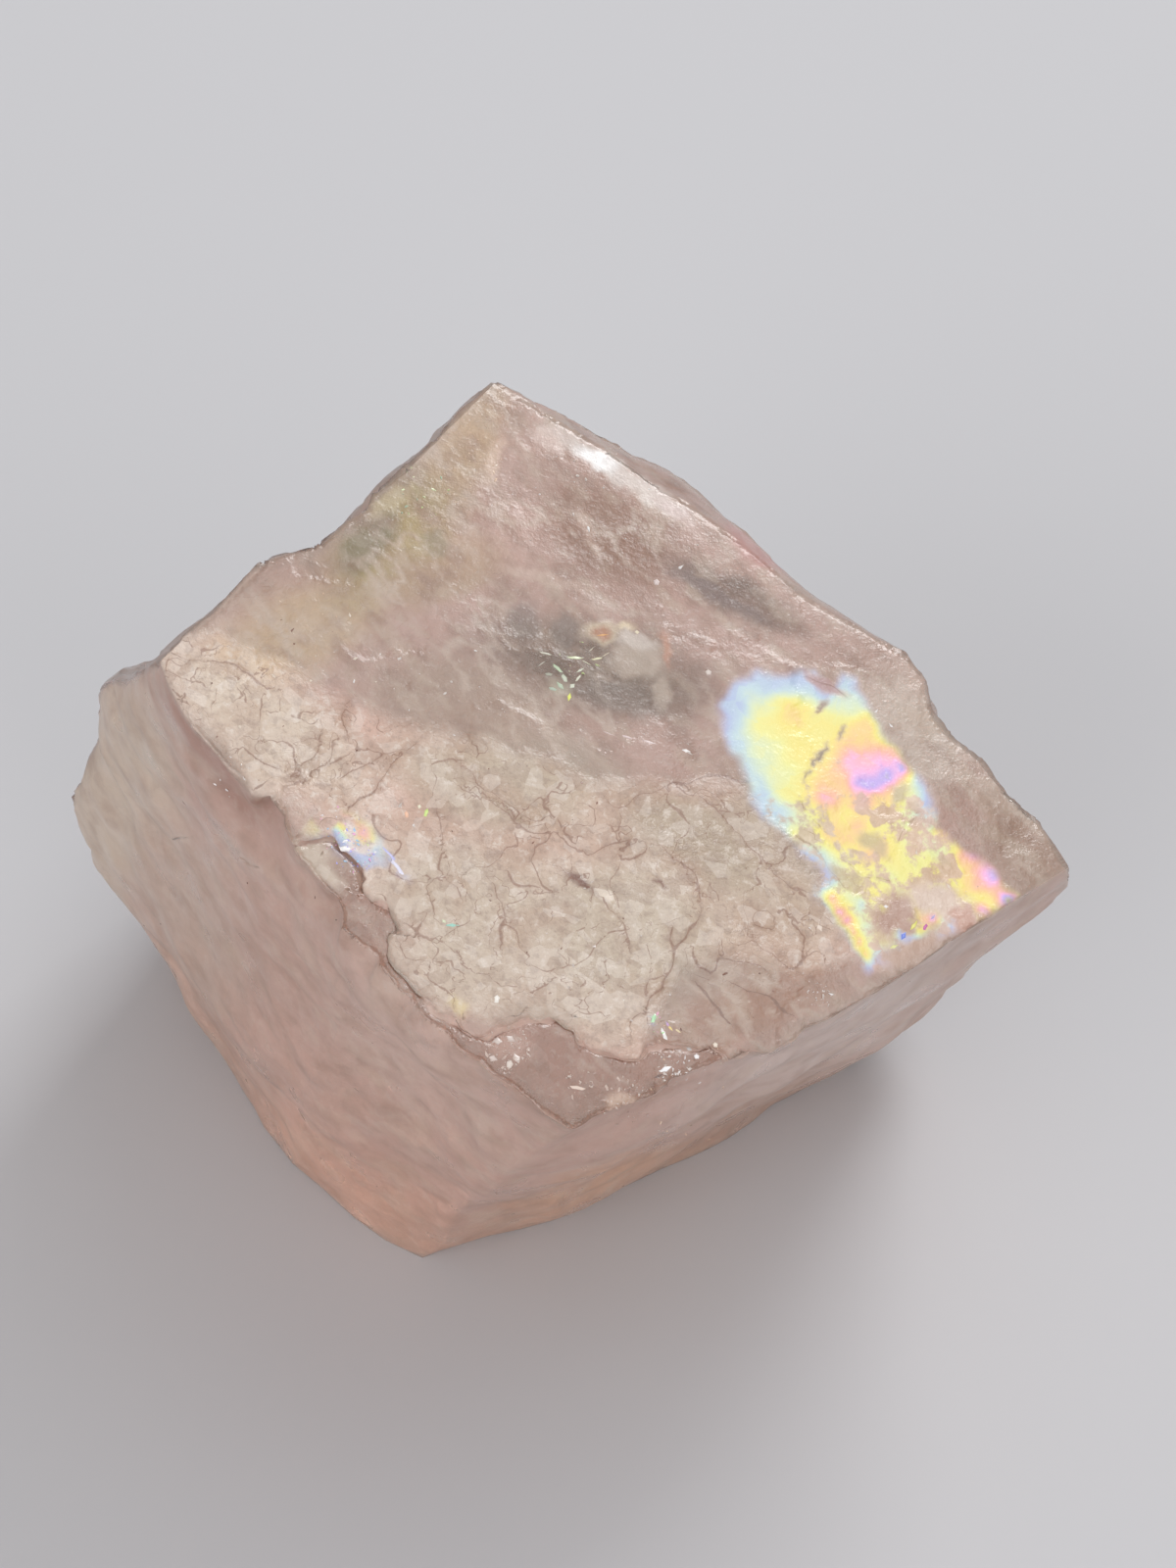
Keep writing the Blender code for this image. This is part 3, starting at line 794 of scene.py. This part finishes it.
def relief(faces, skin, traced, crack, plate_relief, on_rim, ledge_share):
    """How far each point is raised, in millimetres."""
    step = np.sign(traced) * np.exp(-np.abs(traced) / STEP_WIDTH) * STEP_RELIEF * skin
    top = plate_relief * (0.45 + 0.55 * skin) + step + SWELL_RELIEF * vary("swell", faces.points)
    top -= GROOVE_RELIEF * np.exp(-((crack / GROOVE_WIDTH) ** 2)) * skin
    hollows = np.maximum(0.0, vary("hollows", faces.points) - 0.12)
    ridges = 0.5 - np.abs(vary("ridges", faces.points))
    flank = RIDGE_RELIEF * ridges + BUMP_RELIEF * vary("bumps", faces.points) - HOLLOW_RELIEF * hollows
    flank = flank * (1.0 - 0.5 * faces.on_right) + BACK_PLATES * plate_relief * faces.behind
    raised = top * faces.on_top + flank * (1.0 - faces.on_top)
    chips = LEAST_CHIP + MORE_CHIP * np.maximum(0.0, vary("chips", faces.points))
    raised -= chips * on_rim * (1.0 - ledge_share)
    return raised * np.clip(faces.points[:, 2] / FOOT_FADE, 0.0, 1.0)


def roughness(faces, skin, bare, lost_sheet):
    """Frosted flanks, a matte skin, and glossy breaks on the bare cleavage and in places at the back."""
    frost = FROSTED + MORE_OR_LESS_FROSTED * vary("frost", faces.points)
    fresh = smooth_step(-0.1, 0.25, vary("fresh", faces.points)) * faces.behind
    gloss = np.clip(MOSTLY_GLOSSY * bare + lost_sheet + MOSTLY_GLOSSY * fresh, 0.0, 1.0)
    return np.clip(frost + gloss * (GLOSSY - frost) + MATTE_SKIN * skin, *ROUGHNESS_LIMITS)


def dress(stone, on_rim):
    """Gives the stone its fine relief, and stores the colour and clarity of each of its points."""
    mesh = stone.data
    faces = Faces(mesh)
    floor_share, ledge_share = lift_ledge(faces)
    points = faces.points
    lost_sheet, skin = broken_sheet(faces)
    bare = (1.0 - skin) * faces.on_top * (1.0 - lost_sheet)
    traced = crack_offset(points, faces.places)
    heights, broad_cracks = plates(points, PLATE_WIDTH, PLATE_SEED)
    fine_heights, fine_cracks = plates(points, FINE_PLATE_WIDTH, FINE_PLATE_SEED)
    crack = all_cracks(faces, skin, traced, broad_cracks, fine_cracks)

    # Colours, from the broadest to the smallest, with the rainbow's painted film reflection under the marks.
    # How thin the stone is under each point: it sets a painted glow and makes the stone clearer.
    thin = np.exp(-thickness_below(mesh, points, faces.normals) / THIN_STONE)
    worn_and_glowing_edges = np.exp(-rim_distance(points, on_rim) / WEAR_AND_GLOW_WIDTH) * (1.0 - 0.75 * floor_share)
    colours = zone_colours(faces, lost_sheet)
    add_tones(colours, faces, skin, lost_sheet, thin, worn_and_glowing_edges, traced)
    marked = add_marks(colours, faces)
    # Where the rainbow's film reflection is painted, and where flakes glitter in its painted colours.
    inside = depth_inside(RAINBOW_OUTLINE, faces.slightly_bent)
    rainbow = smooth_step(-RAINBOW_RIM, RAINBOW_FADE, inside) * faces.on_top
    glitter = glitter_share(faces, fine_heights)
    torn = torn_rainbow(faces)

    smoky = zone_share(CLEAVAGE_ZONES["smoky_window"], faces.bent, ZONE_CORE, ZONE_REACH) * faces.on_top
    places = {"bare": bare, "lost_sheet": lost_sheet, "smoky": smoky, "thin": thin, "behind": faces.behind}
    clear = CLEAR_BODY + sum(CLEARER[name] * share for name, share in places.items())
    clear *= (1.0 - SKIN_CLOUDS * skin) * (1.0 - MARKS_CLOUD * marked) * (1.0 - rainbow)
    rough = roughness(faces, skin, bare, lost_sheet)

    plate_relief = heights * PLATE_RELIEF + fine_heights * FINE_PLATE_RELIEF
    raised = relief(faces, skin, traced, crack, plate_relief, on_rim, ledge_share)
    points += faces.normals * raised[:, None] * MM
    film = film_thickness(faces.slightly_bent, points)
    film += FLAKE_FILM * (fine_heights - 0.5) * (glitter > 0.0)
    mesh.vertices.foreach_set("co", points.ravel())
    mesh.update()
    mesh.shade_smooth()
    mesh.set_sharp_from_angle(angle=FLANK_SHARP_ANGLE)

    store(mesh, "tint", colours)
    store(mesh, "crack", crack)
    store(mesh, "crumble", 0.28 + 0.72 * skin + 0.15 * lost_sheet - 0.10 * faces.on_right)
    store(mesh, "rainbow", np.maximum(rainbow * (1.0 - marked), 0.95 * glitter))
    store(mesh, "torn", np.where(glitter > 0.0, -1.0, torn))
    store(mesh, "film", film)
    store(mesh, "clear", clear)
    store(mesh, "rough", rough)


# ---- material ----------------------------------------------------------------------------------------------

# The colours that a thin film reflects, painted into the base colour as a painted reflection.
FILM_REFLECTION_COLOURS = (
    (0.00, (182, 174, 210)), (0.07, (172, 188, 226)), (0.15, (188, 214, 222)), (0.24, (214, 230, 192)),
    (0.34, (236, 234, 146)), (0.43, (242, 226, 122)), (0.51, (244, 202, 138)), (0.59, (244, 182, 160)),
    (0.67, (250, 180, 222)), (0.76, (190, 168, 236)), (0.86, (170, 184, 150)), (1.00, (214, 128, 180)),
)
GRAIN_WIDTH = 0.3 * MM
GRAIN_HEIGHT = 0.08 * MM
FLAKE_WIDTH = 0.42 * MM
# Dark and pale grains, then pale and dark flakes: where they begin and are full, their share and colour.
GRAIN_SPECKLES = ((0.50, 0.68, 0.42, (0.31, 0.215, 0.175)), (0.47, 0.32, 0.55, (0.80, 0.71, 0.63)))
FLAKE_SPECKLES = ((0.55, 1.0, 0.26, (0.86, 0.78, 0.72)), (0.45, 0.0, 0.26, (0.36, 0.25, 0.21)))
CRACK_COLOUR = linear(140, 102, 86)
CRACK_HALF_WIDTH = 0.028
CRACK_SHARE = 0.62
RAINBOW_REFLECTION_SHARE = 0.92
TORN_SHARE = 0.15
TOPAZ_IOR = 1.62
ABSORPTION_COLOUR = linear(238, 200, 186)
ABSORPTION_DENSITY = 60.0


class Shader:
    """A material's node tree, with a short call for each kind of node."""

    def __init__(self, name):
        self.material = bpy.data.materials.new(name)
        self.material.use_nodes = True
        self.tree = self.material.node_tree
        self.principled = self.tree.nodes["Principled BSDF"]
        self.output = self.tree.nodes["Material Output"]

    def add(self, kind, inputs=(), **settings):
        node = self.tree.nodes.new(kind)
        for key, value in settings.items():
            setattr(node, key, value)
        for key, value in dict(inputs).items():
            self.put(value, node.inputs[key])
        return node

    def put(self, value, socket):
        if isinstance(value, bpy.types.NodeSocket):
            self.tree.links.new(value, socket)
        elif isinstance(value, (tuple, list, np.ndarray)) and len(value) == 3 and socket.type == "RGBA":
            socket.default_value = (*value, 1.0)
        else:
            socket.default_value = value

    def set(self, **values):
        for key, value in values.items():
            self.put(value, self.principled.inputs[key.replace("_", " ")])

    def attribute(self, name, colour=False):
        node = self.add("ShaderNodeAttribute", attribute_name=name)
        return node.outputs["Color" if colour else "Fac"]

    def math(self, operation, first, second=0.0):
        return self.add("ShaderNodeMath", {0: first, 1: second}, operation=operation).outputs[0]

    def step(self, value, low, high, bottom=0.0, top=1.0):
        inputs = {"Value": value, "From Min": low, "From Max": high, "To Min": bottom, "To Max": top}
        return self.add("ShaderNodeMapRange", inputs, interpolation_type="SMOOTHSTEP").outputs[0]

    def mix(self, share, first, second):
        return self.add("ShaderNodeMix", {0: share, 6: first, 7: second}, data_type="RGBA").outputs[2]

    def ramp(self, value, stops):
        node = self.add("ShaderNodeValToRGB", {0: value})
        elements = node.color_ramp.elements
        while len(elements) < len(stops):
            elements.new(0.5)
        for element, (position, colour) in zip(elements, stops):
            element.position = position
            element.color = (*linear(*colour), 1.0)
        return node.outputs[0]


def stone_material():
    s = Shader("topaz")
    place = s.add("ShaderNodeTexCoord").outputs["Object"]
    fine = {"Vector": place, "Scale": 1.0 / GRAIN_WIDTH, "Detail": 3.0, "Roughness": 0.7}
    grain = s.add("ShaderNodeTexNoise", fine).outputs["Fac"]

    # Crumbled flakes: irregular cells, each a little lighter or darker.
    cells = s.add("ShaderNodeTexVoronoi", {"Vector": place, "Scale": 1.0 / FLAKE_WIDTH})
    flake = s.add("ShaderNodeSeparateColor", {0: cells.outputs["Color"]}).outputs[0]

    # Dark and pale grains and flakes, strongest in the skin, over the colours of the zones.
    colour = s.attribute("tint", colour=True)
    strength = s.attribute("crumble")
    for value, speckles in ((grain, GRAIN_SPECKLES), (flake, FLAKE_SPECKLES)):
        for begins, full, share, shade in speckles:
            speckle = s.math("MULTIPLY", s.step(value, begins, full, 0.0, share), strength)
            colour = s.mix(speckle, colour, shade)

    # Cracks: thin dark lines along the places where the stored offset changes sign.
    beside = s.math("ABSOLUTE", s.attribute("crack"))
    wide = s.step(grain, 0.35, 0.65, CRACK_HALF_WIDTH * 1.5, CRACK_HALF_WIDTH * 0.45)
    line = s.math("MULTIPLY", s.step(s.math("DIVIDE", beside, wide), 0.35, 1.2, 1.0, 0.0), CRACK_SHARE)
    colour = s.mix(line, colour, CRACK_COLOUR)

    # The rainbow: the reflected colours of a thin film, painted into the base colour as a painted reflection,
    # torn by small breaks.
    edge = s.step(grain, 0.3, 0.7, -0.12, 0.12)
    whole = s.step(s.math("ADD", s.attribute("torn"), edge), -0.16, 0.12, 1.0, TORN_SHARE)
    rainbow = s.math("MULTIPLY", s.attribute("rainbow"), whole)
    film = s.ramp(s.math("ADD", s.attribute("film"), s.step(flake, 0.0, 1.0, -0.015, 0.015)), FILM_REFLECTION_COLOURS)
    colour = s.mix(s.math("MULTIPLY", rainbow, RAINBOW_REFLECTION_SHARE), colour, film)

    bump = s.add("ShaderNodeBump", {"Height": grain, "Strength": strength, "Distance": GRAIN_HEIGHT})
    s.set(Base_Color=colour, Roughness=s.attribute("rough"), Transmission_Weight=s.attribute("clear"))
    s.set(IOR=TOPAZ_IOR, Normal=bump.outputs[0])
    inside = s.add("ShaderNodeVolumeAbsorption", {"Color": ABSORPTION_COLOUR, "Density": ABSORPTION_DENSITY})
    s.tree.links.new(inside.outputs[0], s.output.inputs["Volume"])
    return s.material


# ---- flecks ------------------------------------------------------------------------------------------------
# Clusters of tiny broken flakes, those of the glint kinds coloured as painted glints, and of dark grains:
# (column, row, reach, count, kind).

FLECK_CLUSTERS = (
    (519, 1070, 24, 110, "crumb"), (590, 1104, 16, 24, "crumb"), (640, 1124, 26, 60, "crumb"),
    (686, 1090, 20, 60, "white_glint"), (836, 1017, 14, 30, "white_glint"), (672, 1046, 10, 8, "coloured_glint"),
    (700, 1112, 60, 24, "warm"), (430, 505, 30, 20, "pale_green_glint"), (500, 470, 26, 14, "warm"),
    (586, 676, 26, 12, "pale_green_glint"), (655, 757, 12, 5, "white_glint"), (700, 764, 6, 2, "white_glint"),
    (400, 850, 34, 14, "white_glint"), (362, 866, 24, 70, "opal_glint"), (350, 848, 26, 24, "opal_glint"),
    (300, 690, 90, 26, "warm"), (430, 720, 90, 26, "white_glint"), (606, 470, 30, 16, "white_glint"),
    (560, 520, 60, 18, "white_glint"), (690, 540, 60, 12, "white_glint"), (600, 900, 12, 4, "white_glint"),
    (530, 840, 80, 12, "warm"), (620, 990, 90, 22, "white_glint"), (790, 960, 60, 8, "white_glint"),
    (240, 790, 24, 14, "white_glint"), (235, 900, 90, 3, "dark"), (350, 1000, 90, 3, "dark"),
    (300, 720, 90, 10, "dark"), (560, 860, 130, 14, "dark"), (700, 960, 110, 14, "dark"),
    (450, 480, 50, 10, "warm"), (950, 900, 50, 12, "warm"), (760, 1030, 60, 6, "dark"),
    (900, 760, 60, 6, "white_glint"),
)
FLECK_COLOURS = {
    "white_glint": ((226, 216, 210), (214, 202, 194), (246, 242, 240)),
    "warm": ((230, 204, 180), (222, 190, 164), (238, 224, 208)),
    "crumb": ((214, 192, 180), (204, 180, 168), (224, 208, 198)),
    "pale_green_glint": ((206, 220, 160), (232, 238, 196), (180, 196, 170)),
    "coloured_glint": ((250, 180, 220), (170, 220, 255), (200, 246, 180), (255, 214, 150)),
    "opal_glint": ((252, 186, 226), (198, 192, 255), (255, 252, 255), (184, 222, 252), (234, 240, 190)),
    "dark": ((138, 102, 88), (150, 112, 98), (124, 92, 82)),
}
SMALLEST_FLECK = 0.012 * MM
LARGER_FLECK = 0.038 * MM
MOSTLY_SMALL = 2.5
FLECK_STRETCH = 3.2
FLECK_LEAN = 0.5
FLECK_THICKNESS = 0.02 * MM
# Single bright flakes, coloured as painted glints, and a dark sliver of painted shade beside the brightest:
# (column, row, half length and half width in pixels, turn in degrees, colour).
GLINTS = (
    (667, 1038, 8, 3, -70, (190, 236, 190)), (671, 1034, 6, 2, -65, (246, 190, 212)),
    (677, 1054, 9, 3, 65, (252, 250, 246)), (684, 1049, 6, 2, 50, (246, 222, 146)),
    (681, 1045, 6, 2, 60, (208, 168, 218)), (692, 1052, 5, 2, 35, (240, 222, 184)),
    (679, 1091, 11, 4, -22, (252, 250, 252)), (672, 1098, 8, 2, -22, (118, 92, 84)),
    (703, 1070, 5, 4, 30, (206, 200, 198)), (711, 1078, 4, 4, 0, (252, 248, 248)),
    (714, 1105, 3, 3, 0, (252, 246, 244)), (730, 1066, 4, 4, 0, (238, 224, 208)),
    (719, 1092, 4, 3, 0, (232, 206, 194)), (589, 1110, 12, 3, 10, (232, 210, 196)),
    (507, 1019, 4, 6, 10, (252, 246, 238)), (520, 1086, 5, 7, 20, (228, 214, 204)),
    (508, 1063, 6, 5, 0, (216, 200, 192)), (527, 1080, 5, 8, -20, (222, 206, 198)),
    (503, 1080, 7, 5, 20, (216, 198, 190)), (521, 1060, 7, 5, 30, (214, 198, 190)),
    (581, 711, 3, 7, 15, (242, 246, 120)), (569, 682, 11, 3, 42, (200, 216, 184)),
    (588, 671, 13, 3, 4, (228, 234, 196)), (610, 672, 12, 2, -10, (232, 226, 190)),
    (592, 684, 8, 2, -30, (222, 224, 206)), (572, 700, 10, 4, 48, (190, 204, 180)),
    (558, 667, 10, 2, 15, (212, 208, 190)), (576, 692, 8, 4, 62, (210, 216, 196)),
    (564, 703, 7, 3, 15, (184, 196, 178)), (584, 700, 6, 4, -45, (222, 224, 206)),
    (590, 692, 8, 2, -52, (228, 228, 208)), (553, 677, 8, 1, -35, (204, 198, 184)),
    (603, 663, 8, 1, -42, (216, 206, 186)), (560, 688, 6, 3, 5, (176, 174, 158)),
    (598, 676, 9, 1, 28, (224, 222, 196)), (618, 668, 8, 1, -30, (214, 200, 176)),
    (700, 766, 7, 3, 12, (252, 248, 246)), (662, 757, 13, 2, 16, (240, 222, 220)),
    (640, 752, 9, 2, 18, (230, 210, 208)), (620, 748, 8, 1, 22, (218, 196, 192)),
    (723, 686, 5, 5, 0, (226, 212, 204)), (670, 594, 5, 6, 10, (222, 204, 200)),
    (650, 645, 4, 4, 0, (236, 222, 196)), (615, 648, 10, 2, -6, (226, 170, 112)),
    (462, 944, 8, 3, 0, (176, 228, 212)), (453, 940, 4, 3, 40, (226, 232, 200)),
    (415, 831, 3, 6, 0, (250, 200, 170)), (435, 829, 3, 7, 20, (216, 240, 146)),
    (428, 823, 3, 4, 20, (246, 240, 214)), (405, 884, 14, 3, 52, (236, 234, 252)),
    (398, 872, 12, 2, 46, (206, 206, 250)), (353, 866, 8, 4, 10, (255, 252, 252)),
    (922, 955, 8, 4, -60, (126, 146, 232)), (932, 945, 9, 3, -55, (236, 232, 130)),
    (944, 946, 7, 3, -60, (206, 110, 176)), (912, 966, 7, 3, -20, (232, 232, 160)),
    (895, 972, 10, 3, -28, (214, 220, 216)), (952, 936, 6, 2, -50, (190, 180, 220)),
    (904, 925, 4, 3, 0, (250, 246, 244)), (836, 946, 6, 4, 60, (244, 228, 214)),
)


def add_sliver(bm, place, turn, half_length, half_width, sides):
    """A tiny flat flake, laid on the stone at a place and turned as the axes of a 3 by 3 matrix."""
    matrix = Matrix.Translation(place) @ turn.to_4x4()
    matrix = matrix @ Matrix.Diagonal((half_length, half_width, min(half_width, FLECK_THICKNESS), 1.0))
    shape = {"radius1": 1.0, "radius2": 0.4, "depth": 1.0, "segments": sides}
    return bmesh.ops.create_cone(bm, cap_ends=True, cap_tris=True, matrix=matrix, **shape)["verts"]


def turn_in_picture(normal, ray, angle):
    """Axes on a face, the first of which runs at an angle, clockwise from the right, in the photograph."""
    along = VIEW_RIGHT * math.cos(angle) - VIEW_UP * math.sin(angle)
    along = (along - ray * (along.dot(normal) / ray.dot(normal))).normalized()
    return Matrix((along, normal.cross(along), normal)).transposed()


def flecks(stone):
    """Tiny slivers, laid on the stone where the photograph has bright or dark specks; the bright ones are
    painted glints.
    """
    rng = random.Random(SEED)
    bm = bmesh.new()
    colours = []
    for column, row, reach, count, kind in FLECK_CLUSTERS:
        for _ in range(count):
            angle = rng.uniform(0.0, math.tau)
            away = reach * math.sqrt(rng.random())
            ray = ray_through(column + away * math.cos(angle), row + away * math.sin(angle))
            hit, place, normal, _ = stone.ray_cast(EYE, ray)
            size = SMALLEST_FLECK + LARGER_FLECK * rng.random() ** MOSTLY_SMALL
            stretch = rng.uniform(1.0, FLECK_STRETCH)
            lean = Vector([rng.uniform(-FLECK_LEAN, FLECK_LEAN) for _ in range(3)])
            spin = rng.uniform(0.0, math.tau)
            shade = rng.choice(FLECK_COLOURS[kind])
            sides = rng.choice((3, 4, 5))
            if not hit:
                continue
            turn = turn_in_picture((normal + lean).normalized(), ray, spin)
            made = add_sliver(bm, place, turn, size * stretch, size, sides)
            colours += [linear(*shade)] * len(made)
    for column, row, half_length, half_width, angle, shade in GLINTS:
        ray = ray_through(column, row)
        _, place, normal, _ = stone.ray_cast(EYE, ray)
        turn = turn_in_picture(normal, ray, math.radians(angle))
        made = add_sliver(bm, place, turn, half_length * PIXEL, half_width * PIXEL, rng.choice((4, 5)))
        colours += [linear(*shade)] * len(made)
    mesh = bpy.data.meshes.new("flecks")
    bm.to_mesh(mesh)
    bm.free()
    store(mesh, "tint", np.array(colours))
    piece = bpy.data.objects.new("flecks", mesh)
    bpy.context.collection.objects.link(piece)
    # The slivers' colours hold painted glints and one painted shade beside a glint.
    s = Shader("fleck")
    s.set(Base_Color=s.attribute("tint", colour=True), Roughness=0.15)
    s.set(IOR=TOPAZ_IOR, Transmission_Weight=0.12)
    mesh.materials.append(s.material)
    return piece


# ---- studio ------------------------------------------------------------------------------------------------

FLOOR_SIZE = 8.0
FLOOR_GAP = 0.02 * MM
FLOOR_COLOUR = linear(200, 200, 203)
LIT_POINT = Vector((0.0, 0.0, 0.012))
# Each soft light: its place round the stone, its size and its power.
LIGHTS = {
    "key_behind": ((0.33, 0.51, 0.57), 0.36, 2.7),
    "top": ((0.27, 0.06, 0.72), 0.42, 0.9),
    "fill_left": ((-0.48, -0.54, 0.30), 0.60, 2.7),
    "fill_right": ((0.48, -0.60, 0.30), 0.60, 1.8),
}
SKY_COLOUR = (0.96, 0.95, 0.96, 1.0)
SKY_STRENGTH = 0.44
MAX_BOUNCES = 5


def floor():
    mesh = bpy.data.meshes.new("floor")
    half = FLOOR_SIZE / 2
    corners = [(x * half, y * half, -FLOOR_GAP) for x, y in ((-1, -1), (1, -1), (1, 1), (-1, 1))]
    mesh.from_pydata(corners, [], [(0, 1, 2, 3)])
    ground = bpy.data.objects.new("floor", mesh)
    bpy.context.collection.objects.link(ground)
    s = Shader("floor")
    s.set(Base_Color=FLOOR_COLOUR, Roughness=0.8)
    mesh.materials.append(s.material)


def light(name, place, size, power):
    lamp = bpy.data.lights.new(name, "AREA")
    lamp.size = size
    lamp.energy = power
    holder = bpy.data.objects.new(name, lamp)
    holder.location = place
    holder.rotation_euler = (LIT_POINT - Vector(place)).to_track_quat("-Z", "Y").to_euler()
    bpy.context.collection.objects.link(holder)


def sky():
    world = bpy.data.worlds.new("studio")
    world.use_nodes = True
    background = world.node_tree.nodes["Background"]
    background.inputs["Color"].default_value = SKY_COLOUR
    background.inputs["Strength"].default_value = SKY_STRENGTH
    scene = bpy.context.scene
    scene.world = world
    scene.view_settings.view_transform = "Standard"
    scene.cycles.max_bounces = MAX_BOUNCES
    scene.cycles.caustics_reflective = False


def camera():
    data = bpy.data.cameras.new("camera")
    data.sensor_width = SENSOR
    data.lens = LENS
    data.clip_start = 1.0 * MM
    data.clip_end = 10.0
    holder = bpy.data.objects.new("camera", data)
    holder.location = EYE
    holder.rotation_euler = (math.pi / 2 - ELEVATION, 0.0, 0.0)
    bpy.context.collection.objects.link(holder)
    bpy.context.scene.camera = holder


stone, on_rim = fine_stone()
dress(stone, on_rim)
stone.data.materials.clear()
stone.data.materials.append(stone_material())
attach(stone, "root")
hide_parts("crystal")
bpy.context.view_layer.update()
# The slivers: dark grains and painted glints.
grains_and_glints = flecks(stone)
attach(grains_and_glints, "root")
floor()
for name, (place, size, power) in LIGHTS.items():
    light(name, place, size, power)
sky()
camera()
